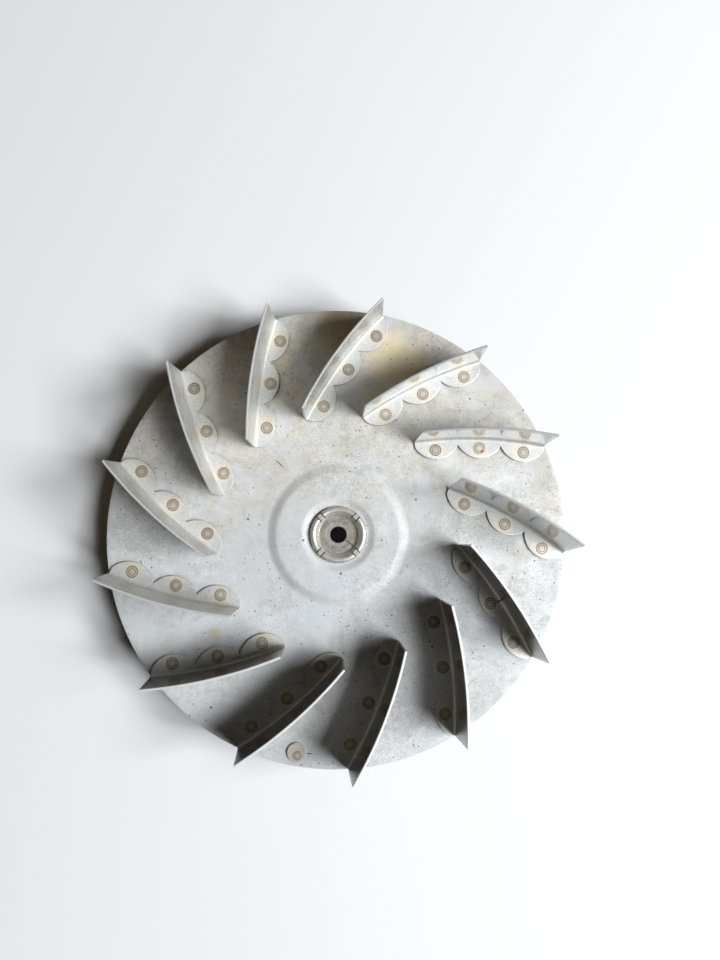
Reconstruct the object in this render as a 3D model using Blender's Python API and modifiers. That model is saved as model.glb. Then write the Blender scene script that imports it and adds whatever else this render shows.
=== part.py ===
"""Combustion fan: an open fan wheel of stainless sheet with thirteen backward-curved blades, as used
in the combustion-air or flue-gas blower of a boiler.

Units are metres. +Z is the wheel's axis and points out of the blade side. The origin is on the axis,
at the hub's rear end, which is the lowest plane of the wheel.
"""

import math

import bmesh
import bpy

MM = 0.001

# Fit between pieces that touch
GAP = 0.3 * MM

# Hub, from its rear end upwards
BORE_RADIUS = 4.0 * MM
BARREL_RADIUS = 11.0 * MM
BARREL_LENGTH = 16.0 * MM
SHOULDER_RADIUS = 15.0 * MM
SHOULDER_THICKNESS = 3.0 * MM
NECK_RADIUS = 11.7 * MM
RECESS_RADIUS = 9.9 * MM
RECESS_FLOOR = 0.6 * MM
COUNTERSINK_RADIUS = 6.2 * MM
COUNTERSINK_DEPTH = 0.2 * MM
COLLAR_RADIUS = 13.9 * MM
COLLAR_CREST_RADIUS = 12.3 * MM
COLLAR_HEIGHT = 2.1 * MM
HUB_CHAMFER = 0.5 * MM

# Staked tongues in the hub's collar
TONGUE_COUNT = 4
TONGUE_ANGLE = math.radians(45)
TONGUE_WIDTH = 2.3 * MM
TONGUE_DROP = 0.35 * MM
SLIT_WIDTH = 0.45 * MM
SLIT_DEPTH = 1.5 * MM

# Backplate
PLATE_RADIUS = 112.5 * MM
PLATE_THICKNESS = 1.5 * MM
PLATE_HOLE_RADIUS = NECK_RADIUS + GAP
BOSS_OUTER_RADIUS = 35.4 * MM
BOSS_INNER_RADIUS = 29.4 * MM
BOSS_HEIGHT = 1.6 * MM
DISH_OUTER_RADIUS = 18.8 * MM
DISH_INNER_RADIUS = 14.2 * MM
DISH_DEPTH = 1.1 * MM

# Heights that follow from the hub and the backplate
SHOULDER_TOP = BARREL_LENGTH + SHOULDER_THICKNESS
DISH_FLOOR = SHOULDER_TOP + GAP + PLATE_THICKNESS
PLATE_TOP = DISH_FLOOR + DISH_DEPTH - BOSS_HEIGHT
HUB_FACE = DISH_FLOOR - RECESS_FLOOR
COLLAR_FOOT = DISH_FLOOR + GAP
COLLAR_CREST = COLLAR_FOOT + COLLAR_HEIGHT

# Blades
BLADE_COUNT = 13
FIRST_BLADE_ANGLE = math.radians(106.1)
BLADE_THICKNESS = 1.0 * MM
BLADE_HEIGHT = 32.0 * MM
BLADE_OUTER_RADIUS = 111.7 * MM
BLADE_INNER_RADIUS = 59.1 * MM
BLADE_SWEEP = math.radians(27.1)
BLADE_CURVE_RADIUS = 200.7 * MM
BEND_RADIUS = 1.3 * MM
FOLD_TO_WEB = 0.45 * MM
END_LEAN = math.radians(4.5)
END_LEAN_START = 3.0 * MM

# Lobes of the blade's foot
LOBE_COUNT = 3
LOBE_DEPTH = 9.2 * MM
LOBE_RADIUS = 12.2 * MM
LOBE_END_OVERRUN = math.radians(0.2)

# Balance weight
WEIGHT_RADIUS = 4.5 * MM
WEIGHT_THICKNESS = 1.2 * MM
WEIGHT_EDGE = 0.2 * MM
WEIGHT_PITCH_RADIUS = 105.9 * MM
WEIGHT_ANGLE = math.radians(-100.85)

# Grub screw
SCREW_RADIUS = 2.5 * MM
SCREW_LENGTH = 6.0 * MM
SCREW_CHAMFER = 0.6 * MM
SCREW_POINT_RADIUS = 1.4 * MM
SCREW_HEIGHT = BARREL_LENGTH / 2
SOCKET_ACROSS_FLATS = 2.5 * MM
SOCKET_DEPTH = 2.4 * MM

# Facets of the turned and curved pieces
PLATE_STEPS = 80
HUB_STEPS = 48
SMALL_STEPS = 24
BLADE_STEPS = 8
LOBE_STEPS = 8
RAMP_STEPS = 5
BEND_STEPS = 5

FULL_TURN = 2 * math.pi
MERGE_DISTANCE = 0.00001


def clear_scene():
    for old in list(bpy.data.objects):
        bpy.data.objects.remove(old, do_unlink=True)


def make_collection(name):
    collection = bpy.data.collections.new(name)
    bpy.context.scene.collection.children.link(collection)
    return collection


def make_material(name, colour, roughness, metallic=1.0):
    material = bpy.data.materials.new(name)
    material.use_nodes = True
    shader = material.node_tree.nodes["Principled BSDF"]
    shader.inputs["Base Color"].default_value = (*colour, 1.0)
    shader.inputs["Roughness"].default_value = roughness
    shader.inputs["Metallic"].default_value = metallic
    material.diffuse_color = (*colour, 1.0)
    return material


def add_object(name, data, collection, material=None):
    item = bpy.data.objects.new(name, data)
    collection.objects.link(item)
    if material is not None:
        data.materials.append(material)
    return item


def add_cutter(name, data, collection):
    cutter = add_object(name, data, collection)
    cutter.hide_render = True
    cutter.display_type = "WIRE"
    return cutter


def cut(item, cutter):
    modifier = item.modifiers.new(cutter.name, "BOOLEAN")
    modifier.operation = "DIFFERENCE"
    modifier.solver = "EXACT"
    modifier.object = cutter


def profile_mesh(name, points, closed):
    """A line of edges through (radius, height) points in the XZ plane."""
    mesh = bpy.data.meshes.new(name)
    edges = [(i, i + 1) for i in range(len(points) - 1)]
    if closed:
        edges.append((len(points) - 1, 0))
    mesh.from_pydata([(radius, 0, height) for radius, height in points], edges, [])
    return mesh


def add_screw(item, angle, steps):
    screw = item.modifiers.new("turn", "SCREW")
    screw.axis = "Z"
    screw.angle = angle
    screw.steps = steps
    screw.render_steps = steps
    screw.use_merge_vertices = True
    screw.merge_threshold = MERGE_DISTANCE


def add_solidify(item, thickness, offset):
    solidify = item.modifiers.new("sheet", "SOLIDIFY")
    solidify.thickness = thickness
    solidify.offset = offset
    solidify.use_even_offset = True


def evaluated_mesh(item, name):
    """The mesh that an object's modifiers make."""
    graph = bpy.context.evaluated_depsgraph_get()
    mesh = bpy.data.meshes.new_from_object(item.evaluated_get(graph))
    mesh.name = name
    return mesh


def smooth_round_faces(mesh):
    mesh.shade_smooth()
    mesh.set_sharp_from_angle(angle=math.radians(30))


def outline_cutter(name, points, half_depth, collection):
    """A closed flat outline in the XY plane, extruded by half_depth to each side, as a mesh."""
    outline = bpy.data.curves.new(name, "CURVE")
    outline.dimensions = "2D"
    outline.fill_mode = "BOTH"
    outline.extrude = half_depth
    spline = outline.splines.new("POLY")
    spline.points.add(len(points) - 1)
    for place, (x, y) in zip(spline.points, points):
        place.co = (x, y, 0, 1)
    spline.use_cyclic_u = True
    guide = add_object(name + "_outline", outline, collection)
    mesh = evaluated_mesh(guide, name)
    bpy.data.objects.remove(guide, do_unlink=True)
    shape = bmesh.new()
    shape.from_mesh(mesh)
    bmesh.ops.remove_doubles(shape, verts=shape.verts, dist=MERGE_DISTANCE)
    bmesh.ops.recalc_face_normals(shape, faces=shape.faces)
    shape.to_mesh(mesh)
    shape.free()
    return add_cutter(name, mesh, collection)


def smooth_step(start, end, count):
    """Points of an S-shaped step between two (radius, height) points, without the first."""
    points = []
    for i in range(1, count + 1):
        share = i / count
        rise = (1 - math.cos(math.pi * share)) / 2
        radius = start[0] + (end[0] - start[0]) * share
        points.append((radius, start[1] + (end[1] - start[1]) * rise))
    return points


def arc(centre, radius, start, end, count):
    """Points round an arc from one angle to another, both included."""
    points = []
    for i in range(count + 1):
        angle = start + (end - start) * i / count
        points.append((centre[0] + radius * math.cos(angle), centre[1] + radius * math.sin(angle)))
    return points


def build_backplate(collection, material):
    boss_top = PLATE_TOP + BOSS_HEIGHT
    points = [(PLATE_HOLE_RADIUS, DISH_FLOOR), (DISH_INNER_RADIUS, DISH_FLOOR)]
    points += smooth_step(points[-1], (DISH_OUTER_RADIUS, boss_top), RAMP_STEPS)
    points.append((BOSS_INNER_RADIUS, boss_top))
    points += smooth_step(points[-1], (BOSS_OUTER_RADIUS, PLATE_TOP), RAMP_STEPS)
    points.append((PLATE_RADIUS, PLATE_TOP))
    plate = add_object("backplate", profile_mesh("backplate", points, False), collection, material)
    add_screw(plate, FULL_TURN, PLATE_STEPS)
    add_solidify(plate, PLATE_THICKNESS, -1)
    return plate


def hub_profile():
    """Once round the hub's section: down its outside, in under its rear end and up its bore."""
    crest_drop = COLLAR_RADIUS - COLLAR_CREST_RADIUS
    points = arc((COLLAR_CREST_RADIUS, COLLAR_CREST - crest_drop), crest_drop, math.pi / 2, 0, 5)
    points += [
        (COLLAR_RADIUS, COLLAR_FOOT),
        (NECK_RADIUS, COLLAR_FOOT),
        (NECK_RADIUS, SHOULDER_TOP),
        (SHOULDER_RADIUS - HUB_CHAMFER, SHOULDER_TOP),
        (SHOULDER_RADIUS, SHOULDER_TOP - HUB_CHAMFER),
        (SHOULDER_RADIUS, BARREL_LENGTH + HUB_CHAMFER),
        (SHOULDER_RADIUS - HUB_CHAMFER, BARREL_LENGTH),
        (BARREL_RADIUS + HUB_CHAMFER, BARREL_LENGTH),
        (BARREL_RADIUS, BARREL_LENGTH - HUB_CHAMFER),
        (BARREL_RADIUS, HUB_CHAMFER),
        (BARREL_RADIUS - HUB_CHAMFER, 0),
        (BORE_RADIUS + HUB_CHAMFER, 0),
        (BORE_RADIUS, HUB_CHAMFER),
        (BORE_RADIUS, HUB_FACE - COUNTERSINK_DEPTH - HUB_CHAMFER / 2),
        (BORE_RADIUS + HUB_CHAMFER / 2, HUB_FACE - COUNTERSINK_DEPTH),
        (COUNTERSINK_RADIUS, HUB_FACE - COUNTERSINK_DEPTH / 2),
        (COUNTERSINK_RADIUS + COUNTERSINK_DEPTH, HUB_FACE),
        (RECESS_RADIUS - HUB_CHAMFER, HUB_FACE),
        (RECESS_RADIUS, HUB_FACE + HUB_CHAMFER),
    ]
    wall_top = (COLLAR_CREST_RADIUS - crest_drop, COLLAR_CREST - crest_drop)
    points.append(wall_top)
    points += arc((COLLAR_CREST_RADIUS, wall_top[1]), crest_drop, math.pi, math.pi / 2, 4)[1:-1]
    return points


def tongue_outline():
    """A pair of slits and the shallow drop between them, across the collar: x along it, y up."""
    inner = TONGUE_WIDTH / 2
    outer = inner + SLIT_WIDTH
    above = COLLAR_CREST + SLIT_DEPTH
    slit_floor = COLLAR_CREST - SLIT_DEPTH
    tongue_top = COLLAR_CREST - TONGUE_DROP
    return [
        (-outer, above),
        (-outer, slit_floor),
        (-inner, slit_floor),
        (-inner, tongue_top),
        (inner, tongue_top),
        (inner, slit_floor),
        (outer, slit_floor),
        (outer, above),
    ]


def build_hub(collection, cutters, material):
    hub = add_object("hub", profile_mesh("hub", hub_profile(), True), collection, material)
    add_screw(hub, FULL_TURN, HUB_STEPS)
    slit_reach = (COLLAR_RADIUS - RECESS_RADIUS) / 2 + SLIT_WIDTH
    slit_centre = (COLLAR_RADIUS + RECESS_RADIUS) / 2
    for i in range(TONGUE_COUNT):
        angle = TONGUE_ANGLE + FULL_TURN * i / TONGUE_COUNT
        cutter = outline_cutter(f"tongue_cut_{i + 1}", tongue_outline(), slit_reach, cutters)
        cutter.location = (slit_centre * math.cos(angle), slit_centre * math.sin(angle), 0)
        cutter.rotation_euler = (math.pi / 2, 0, angle + math.pi / 2)
        cut(hub, cutter)
    cut(hub, screw_hole_cutter(cutters))
    return hub


def screw_hole_cutter(cutters):
    """The tapped hole through one wall of the barrel, along -Y from inside the bore."""
    length = BARREL_RADIUS
    shape = bmesh.new()
    bmesh.ops.create_cone(
        shape,
        cap_ends=True,
        segments=SMALL_STEPS,
        radius1=SCREW_RADIUS + GAP,
        radius2=SCREW_RADIUS + GAP,
        depth=length,
    )
    mesh = bpy.data.meshes.new("screw_hole_cut")
    shape.to_mesh(mesh)
    shape.free()
    cutter = add_cutter("screw_hole_cut", mesh, cutters)
    inner_end = BORE_RADIUS / 2
    cutter.location = (0, -(inner_end + length / 2), SCREW_HEIGHT)
    cutter.rotation_euler = (math.pi / 2, 0, 0)
    return cutter


def curve_centre():
    """Centre of the blade's curve, with the fold's outer end on +X of the wheel."""
    outer = (BLADE_OUTER_RADIUS, 0)
    inner = (
        BLADE_INNER_RADIUS * math.cos(BLADE_SWEEP),
        BLADE_INNER_RADIUS * math.sin(BLADE_SWEEP),
    )
    chord = math.dist(outer, inner)
    along = ((outer[0] - inner[0]) / chord, (outer[1] - inner[1]) / chord)
    middle = ((outer[0] + inner[0]) / 2, (outer[1] + inner[1]) / 2)
    distance = math.sqrt(BLADE_CURVE_RADIUS**2 - (chord / 2) ** 2)
    return middle[0] + along[1] * distance, middle[1] - along[0] * distance


def blade_angles():
    """Angles of the blade's outer and inner end about the centre of its curve."""
    x, y = curve_centre()
    outer = math.atan2(-y, BLADE_OUTER_RADIUS - x)
    inner = math.atan2(
        BLADE_INNER_RADIUS * math.sin(BLADE_SWEEP) - y,
        BLADE_INNER_RADIUS * math.cos(BLADE_SWEEP) - x,
    )
    return outer, inner


def blade_profile():
    """Middle of the blade's sheet: down the web, round the bend and out along the foot."""
    half = BLADE_THICKNESS / 2
    web = BLADE_CURVE_RADIUS + FOLD_TO_WEB + half
    foot = GAP + half
    bend = BEND_RADIUS + half
    points = [(web, GAP + BLADE_HEIGHT)]
    points += arc((web - bend, foot + bend), bend, 0, -math.pi / 2, BEND_STEPS)
    points.append((BLADE_CURVE_RADIUS - LOBE_DEPTH - BLADE_THICKNESS, foot))
    return points


def lobe_edge(outer, inner):
    """The scalloped edge of the foot, from its outer end to its inner end."""
    centre_radius = BLADE_CURVE_RADIUS - LOBE_DEPTH + LOBE_RADIUS
    half_width = (inner - outer) / LOBE_COUNT / 2
    points = []
    for lobe in range(LOBE_COUNT):
        middle = outer + half_width * (2 * lobe + 1)
        start = -half_width - (LOBE_END_OVERRUN if lobe == 0 else 0)
        end = half_width + (LOBE_END_OVERRUN if lobe == LOBE_COUNT - 1 else 0)
        for i in range(LOBE_STEPS + 1):
            if lobe and i == 0:
                continue
            angle = start + (end - start) * i / LOBE_STEPS
            across = centre_radius * math.sin(angle)
            radius = centre_radius * math.cos(angle) - math.sqrt(LOBE_RADIUS**2 - across**2)
            points.append((radius * math.cos(middle + angle), radius * math.sin(middle + angle)))
    return points


def foot_cutter(outer, inner, cutters):
    """Everything beyond the lobes of the foot."""
    beyond = BLADE_CURVE_RADIUS - 2 * LOBE_DEPTH
    start = inner + LOBE_END_OVERRUN
    end = outer - LOBE_END_OVERRUN
    points = lobe_edge(outer, inner) + arc((0, 0), beyond, start, end, BLADE_STEPS)
    return outline_cutter("foot_cut", points, 2 * BLADE_THICKNESS, cutters)


def end_cutter(outer, cutters):
    """A block whose face leans inwards, and trims the web's outer end above the bend."""
    length = 10 * MM
    shape = bmesh.new()
    bmesh.ops.create_cube(shape, size=1)
    bmesh.ops.scale(shape, vec=(length, length, 2 * BLADE_HEIGHT), verts=shape.verts)
    bmesh.ops.translate(shape, vec=(0, -length / 2, BLADE_HEIGHT - BLADE_THICKNESS), verts=shape.verts)
    mesh = bpy.data.meshes.new("end_cut")
    shape.to_mesh(mesh)
    shape.free()
    cutter = add_cutter("end_cut", mesh, cutters)
    cutter.location = (
        BLADE_CURVE_RADIUS * math.cos(outer),
        BLADE_CURVE_RADIUS * math.sin(outer),
        END_LEAN_START,
    )
    cutter.rotation_euler = (-END_LEAN, 0, outer)
    return cutter


def blade_mesh(cutters, material):
    """One finished blade, with its origin on the wheel's axis at the backplate's surface."""
    outer, inner = blade_angles()
    pattern = add_cutter("blade_pattern", profile_mesh("blade_pattern", blade_profile(), False), cutters)
    pattern.rotation_euler.z = outer
    add_screw(pattern, inner - outer, BLADE_STEPS)
    add_solidify(pattern, BLADE_THICKNESS, 0)
    cut(pattern, foot_cutter(outer, inner, cutters))
    cut(pattern, end_cutter(outer, cutters))
    mesh = evaluated_mesh(pattern, "blade")
    mesh.transform(pattern.matrix_world)
    x, y = curve_centre()
    for vertex in mesh.vertices:
        vertex.co.x += x
        vertex.co.y += y
    smooth_round_faces(mesh)
    mesh.materials.append(material)
    return mesh


def build_blades(collection, cutters, material):
    mesh = blade_mesh(cutters, material)
    for i in range(BLADE_COUNT):
        blade = add_object(f"blade_{i + 1:02d}", mesh, collection)
        blade.location.z = PLATE_TOP
        blade.rotation_euler.z = FIRST_BLADE_ANGLE - FULL_TURN * i / BLADE_COUNT


def build_balance_weight(collection, material):
    points = [
        (0, WEIGHT_THICKNESS),
        (WEIGHT_RADIUS - WEIGHT_EDGE, WEIGHT_THICKNESS),
        (WEIGHT_RADIUS, WEIGHT_THICKNESS - WEIGHT_EDGE),
        (WEIGHT_RADIUS, 0),
        (0, 0),
    ]
    mesh = profile_mesh("balance_weight", points, False)
    weight = add_object("balance_weight", mesh, collection, material)
    add_screw(weight, FULL_TURN, SMALL_STEPS)
    weight.location = (
        WEIGHT_PITCH_RADIUS * math.cos(WEIGHT_ANGLE),
        WEIGHT_PITCH_RADIUS * math.sin(WEIGHT_ANGLE),
        PLATE_TOP + GAP,
    )
    return weight


def build_grub_screw(collection, cutters, material):
    """A cup-point screw whose own +Z points outwards, along -Y of the wheel."""
    points = [
        (0, SCREW_LENGTH),
        (SCREW_RADIUS - SCREW_CHAMFER / 2, SCREW_LENGTH),
        (SCREW_RADIUS, SCREW_LENGTH - SCREW_CHAMFER / 2),
        (SCREW_RADIUS, SCREW_RADIUS - SCREW_POINT_RADIUS),
        (SCREW_POINT_RADIUS, 0),
        (0, SCREW_CHAMFER),
    ]
    screw = add_object("grub_screw", profile_mesh("grub_screw", points, False), collection, material)
    add_screw(screw, FULL_TURN, SMALL_STEPS)
    screw.location = (0, -(BORE_RADIUS + GAP), SCREW_HEIGHT)
    screw.rotation_euler = (math.pi / 2, 0, 0)
    corner = SOCKET_ACROSS_FLATS / math.sqrt(3)
    hexagon = arc((0, 0), corner, 0, FULL_TURN, 6)[:-1]
    socket = outline_cutter("socket_cut", hexagon, SOCKET_DEPTH, cutters)
    socket.location = (0, screw.location.y - SCREW_LENGTH, SCREW_HEIGHT)
    socket.rotation_euler = (math.pi / 2, 0, 0)
    cut(screw, socket)
    return screw


def main():
    clear_scene()
    parts = make_collection("combustion_fan")
    cutters = make_collection("cutters")
    sheet = make_material("stainless_sheet", (0.60, 0.59, 0.56), 0.38)
    blade_sheet = make_material("stainless_blade", (0.62, 0.62, 0.60), 0.32)
    turned = make_material("turned_steel", (0.56, 0.52, 0.47), 0.45)
    weight_steel = make_material("weight_steel", (0.55, 0.51, 0.46), 0.45)
    screw_steel = make_material("black_steel", (0.10, 0.10, 0.11), 0.45)
    build_backplate(parts, sheet)
    build_blades(parts, cutters, blade_sheet)
    build_hub(parts, cutters, turned)
    build_balance_weight(parts, weight_steel)
    build_grub_screw(parts, cutters, screw_steel)


main()
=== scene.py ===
"""The looks of the combustion fan wheel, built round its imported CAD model."""

import math
import random

import bmesh
import bpy
from mathutils import Matrix, Vector


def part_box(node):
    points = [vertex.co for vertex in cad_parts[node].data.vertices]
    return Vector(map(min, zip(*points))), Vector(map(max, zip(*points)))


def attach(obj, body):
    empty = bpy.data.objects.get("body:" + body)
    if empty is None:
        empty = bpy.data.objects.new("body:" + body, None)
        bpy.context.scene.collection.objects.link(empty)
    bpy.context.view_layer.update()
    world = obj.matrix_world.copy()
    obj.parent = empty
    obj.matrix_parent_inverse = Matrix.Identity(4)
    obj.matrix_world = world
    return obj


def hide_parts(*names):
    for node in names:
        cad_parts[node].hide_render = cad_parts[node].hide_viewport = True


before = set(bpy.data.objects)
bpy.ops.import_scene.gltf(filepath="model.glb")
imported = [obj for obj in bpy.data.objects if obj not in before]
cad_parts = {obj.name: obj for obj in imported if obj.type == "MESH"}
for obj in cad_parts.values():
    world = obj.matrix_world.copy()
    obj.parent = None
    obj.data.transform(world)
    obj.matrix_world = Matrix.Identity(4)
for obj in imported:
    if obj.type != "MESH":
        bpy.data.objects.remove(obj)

MM = 0.001
FULL_TURN = 2 * math.pi
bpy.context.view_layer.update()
PLATE_LOW, PLATE_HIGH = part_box("backplate")
HUB_LOW, HUB_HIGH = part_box("hub")
WEIGHT_LOW, WEIGHT_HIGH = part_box("balance_weight")
SCREW_LOW, SCREW_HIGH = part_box("grub_screw")
BLADE_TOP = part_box("blade_01")[1].z

# Touching pieces sit this close, where the CAD keeps 0.3 mm
CONTACT = 0.02 * MM
CAD_GAP = 0.3 * MM

# Disc
PLATE_RADIUS = PLATE_HIGH.x
PLATE_THICKNESS = 1.5 * MM
PLATE_TOP = PLATE_LOW.z + PLATE_THICKNESS
PLATE_HOLE_RADIUS = 12.0 * MM
PLATE_EDGE = 0.25 * MM
BOSS_TOP = PLATE_HIGH.z
BOSS_OUTER_RADIUS = 35.4 * MM
BOSS_INNER_RADIUS = 29.4 * MM
DISH_OUTER_RADIUS = 18.8 * MM
DISH_INNER_RADIUS = 14.2 * MM
DISH_DEPTH = 1.1 * MM
DISH_FLOOR = BOSS_TOP - DISH_DEPTH

# Slow waves of the pressed sheet: their depth, and how far from the boss they are full
PLATE_SINK = 0.16 * MM
SINK_REACH = 30 * MM

# Tints on the disc: centre, reach, strength and colour. The two light gold ones are painted warm bounce
# light, laid into the shade behind blades 2 and 3; the dark straw ones turn the disc brown in patches near
# the top rim and in one smear low on the left.
PAINTED_BOUNCE_GOLD = (0.90, 0.76, 0.50)
DARK_STRAW = (0.60, 0.46, 0.25)
STAINS_AND_BOUNCE_LIGHT = (
    ((30 * MM, 86 * MM), 19 * MM, 0.80, PAINTED_BOUNCE_GOLD),
    ((18 * MM, 64 * MM), 13 * MM, 0.45, PAINTED_BOUNCE_GOLD),
    ((4 * MM, 101 * MM), 15 * MM, 0.75, DARK_STRAW),
    ((-34 * MM, 90 * MM), 15 * MM, 0.40, DARK_STRAW),
    ((-60 * MM, -48 * MM), 5 * MM, 0.60, DARK_STRAW),
)

# Scratches lying on the disc: name, width and points
SCRATCHES = (
    ("scratch_by_boss", 0.40 * MM, (
        (-30.8 * MM, 36.4 * MM), (-29.2 * MM, 35.4 * MM), (-27.9 * MM, 34.0 * MM), (-27.0 * MM, 33.3 * MM),
    )),
    ("whisker_by_weight", 0.46 * MM, (
        (-15.3 * MM, -104.9 * MM), (-14.4 * MM, -104.7 * MM),
        (-13.2 * MM, -104.8 * MM), (-12.4 * MM, -105.3 * MM),
    )),
)
SCRATCH_LIFT = 0.01 * MM
SCRATCH_TAPER = 0.45

# Blades, numbered clockwise from the first one left of twelve o'clock
BLADE_COUNT = 13
SECTOR = FULL_TURN / BLADE_COUNT
SECTOR_START = -0.2 * SECTOR
FIRST_BLADE_ANGLE = math.radians(106.1)
SHEET = 1.0 * MM
BLADE_OUTER_RADIUS = 111.7 * MM
BLADE_INNER_RADIUS = 59.1 * MM
BLADE_SWEEP = math.radians(27.1)
BLADE_CURVE_RADIUS = 200.7 * MM
BEND_RADIUS = 1.3 * MM
FOLD_TO_WEB = 0.45 * MM
END_LEAN = math.radians(4.5)
END_LEAN_START = 3.0 * MM
LOBE_COUNT = 3
LOBE_DEPTH = 9.2 * MM
LOBE_RADIUS = 12.2 * MM
FOOT_BOTTOM = PLATE_TOP + CONTACT
FOOT_TOP = FOOT_BOTTOM + SHEET
TOP_CLEARANCE = 0.05 * MM
BLADE_ROUNDING = 0.14 * MM

# Length along a blade in the UV map of its sheet
MAPPED_LENGTH = 65 * MM

# Unevenness of the blades. The fifth one stands a little over
BLADE_LEAN = {5: math.radians(3.6)}
LEAN_SCATTER = math.radians(0.25)
TURN_SCATTER = math.radians(0.08)
BOW_SCATTER = 0.10 * MM
BOW_HEIGHT = 30 * MM

# Blade finishes: name, gloss, base colour, grey of the top edge, and the blades that have it. The base
# colours are painted light and shade, following how lit the blades stand: darkest for blades 6 to 10 on
# the shaded side, palest for 1 and 11 to 13. The top-edge grey is a painted highlight where pale and
# painted shade where dark.
BLADE_FINISHES = (
    ("clean_stainless_blade", 1.0, (0.57, 0.58, 0.585), 0.40, (3, 4, 5)),
    ("brushed_stainless_blade", 0.55, (0.45, 0.45, 0.44), 0.62, (2,)),
    ("shaded_side_stainless_blade", 0.75, (0.30, 0.29, 0.27), 0.85, (6, 7, 8, 9, 10)),
    ("dusty_lit_side_stainless_blade", 0.15, (0.78, 0.77, 0.735), 0.66, (1, 11, 12, 13)),
)

# Black mark across the sixth blade's fold
FOLD_MARK_CENTRE = Vector((79.5 * MM, -32.4 * MM))
FOLD_MARK_ANGLE = math.radians(25)
FOLD_MARK_LENGTH = 3.6 * MM
FOLD_MARK_WIDTH = 0.8 * MM

# Weld marks, from the fold and from each other along the blade's curve
WELDS_PER_BLADE = 3
WELD_DEPTH = 4.6 * MM
WELD_PITCH = math.radians(6.45)
WELD_SCATTER = 0.25 * MM
REAR_MARK_LIFT = 0.005 * MM

# Half section of a weld mark: radius and height in mm
WELD_PROFILE = (
    (0, 0.045), (1.25, 0.045), (1.42, 0.030), (1.52, 0.012), (1.62, 0.045), (1.78, 0.040), (2.42, 0.035),
    (2.62, 0.012), (2.76, 0.045), (2.88, 0.055), (2.98, 0.035), (3.10, -0.030), (0, -0.030),
)

# Red spot on the fourth blade's middle weld
RUST_BLADE = 4
RUST_WELD = 1
RUST_OFFSET = Vector((1.3 * MM, -1.2 * MM))

# Hub
BORE_RADIUS = 4.0 * MM
BARREL_RADIUS = 11.0 * MM
BARREL_LENGTH = 16.0 * MM
SHOULDER_RADIUS = HUB_HIGH.x
NECK_RADIUS = 11.7 * MM
RECESS_RADIUS = 9.9 * MM
RECESS_CORNER = 0.6 * MM
HUB_FACE = DISH_FLOOR - 0.6 * MM
COUNTERSINK_RADIUS = 6.2 * MM
COUNTERSINK_DEPTH = 0.18 * MM
COUNTERSINK_EDGE = 0.15 * MM
COLLAR_RADIUS = 13.9 * MM
COLLAR_CREST_RADIUS = 12.3 * MM
COLLAR_CREST = HUB_HIGH.z
CHAMFER = 0.5 * MM
HUB_ROUNDING = 0.07 * MM

# Staked tongues in the hub's collar, and the slits beside them
TONGUE_COUNT = 4
TONGUE_WIDTH = 2.3 * MM
TONGUE_DROP = 0.35 * MM
SLIT_WIDTH = 0.45 * MM
SLIT_DEPTH = 1.5 * MM
SLIT_OVERRUN = 1.4 * MM

# Scratch across the hub's face: a dark line over a shallow groove
FACE_SCRATCH_ANGLE = math.radians(-36)
FACE_SCRATCH_RADIUS = 6.8 * MM
FACE_SCRATCH_LENGTH = 4.7 * MM
FACE_SCRATCH_WIDTH = 0.58 * MM
GROOVE_RADIUS = 6.5 * MM
GROOVE_LENGTH = 4.6 * MM
GROOVE_WIDTH = 0.20 * MM

# Balance weight, and its own off-centre weld mark
WEIGHT_SINK = 0.01 * MM
WEIGHT_EDGE = 0.22 * MM
WEIGHT_MARK_OFFSET = Vector((0.34 * MM, -1.36 * MM))
WEIGHT_MARK_SIZE = 0.74
WEIGHT_MARK_TONE = 0.2

# Grub screw and its hole
THREAD_PITCH = 0.8 * MM
THREAD_DEPTH = 0.42 * MM
THREAD_END = 1.15 * MM
SCREW_CHAMFER = 0.3 * MM
SOCKET_RADIUS = 1.44 * MM
SOCKET_DEPTH = 2.4 * MM
SCREW_HOLE_RADIUS = 2.6 * MM

# Points closer than this become one
MERGE_DISTANCE = 0.0005 * MM

# How finely shapes are divided
PLATE_SEGMENTS = 288
HUB_SEGMENTS = 160
WEIGHT_SEGMENTS = 72
WELD_SEGMENTS = 40
SCREW_SEGMENTS = 48
RAMP_STEPS = 14
RIM_FLAT_STEPS = 30
FLAT_STEPS = 4
CORNER_STEPS = 4
ROLL_STEPS = 10
SMALL_ARC_STEPS = 5
LOBE_STEPS = 18
WEB_STEPS = 14
BEND_STEPS = 8
FOOT_STEPS = 7

# Camera: how the wheel is turned before it, and its place from the disc's centre in its own axes
CAMERA_TILT = Vector((math.radians(-4.31), math.radians(2.23), 0))
CAMERA_PLACE = Vector((10.7, 26.9, 354.2)) * MM
CAMERA_LENS = 27
SENSOR_WIDTH = 36

# Studio
FLOOR_SIDE = 40.0
FLOOR_DROP = 0.05 * MM
FLOOR_FADE_START = 0.30
FLOOR_FADE_END = 1.10
BACKDROP = (0.86, 0.86, 0.86, 1.0)
AMBIENT_COLOUR = (1.0, 0.80, 0.56, 1.0)
AMBIENT_STRENGTH = 0.018
ROOM_REFLECTION = 0.03

# Softboxes: name, degrees about the axis and above the disc, width, height, power and colour
LIGHT_DISTANCE = 2.4
DAYLIGHT = (0.93, 0.97, 1.0)
LAMPLIGHT = (1.0, 0.72, 0.34)
SOFTBOXES = (
    ("high_window", -25, 52, 0.8, 0.8, 45.0, DAYLIGHT),
    ("low_window", -2, 40, 0.9, 0.6, 42.0, DAYLIGHT),
    ("warm_fill", 75, 30, 0.8, 0.8, 1.2, LAMPLIGHT),
)

SEED = 20


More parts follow.
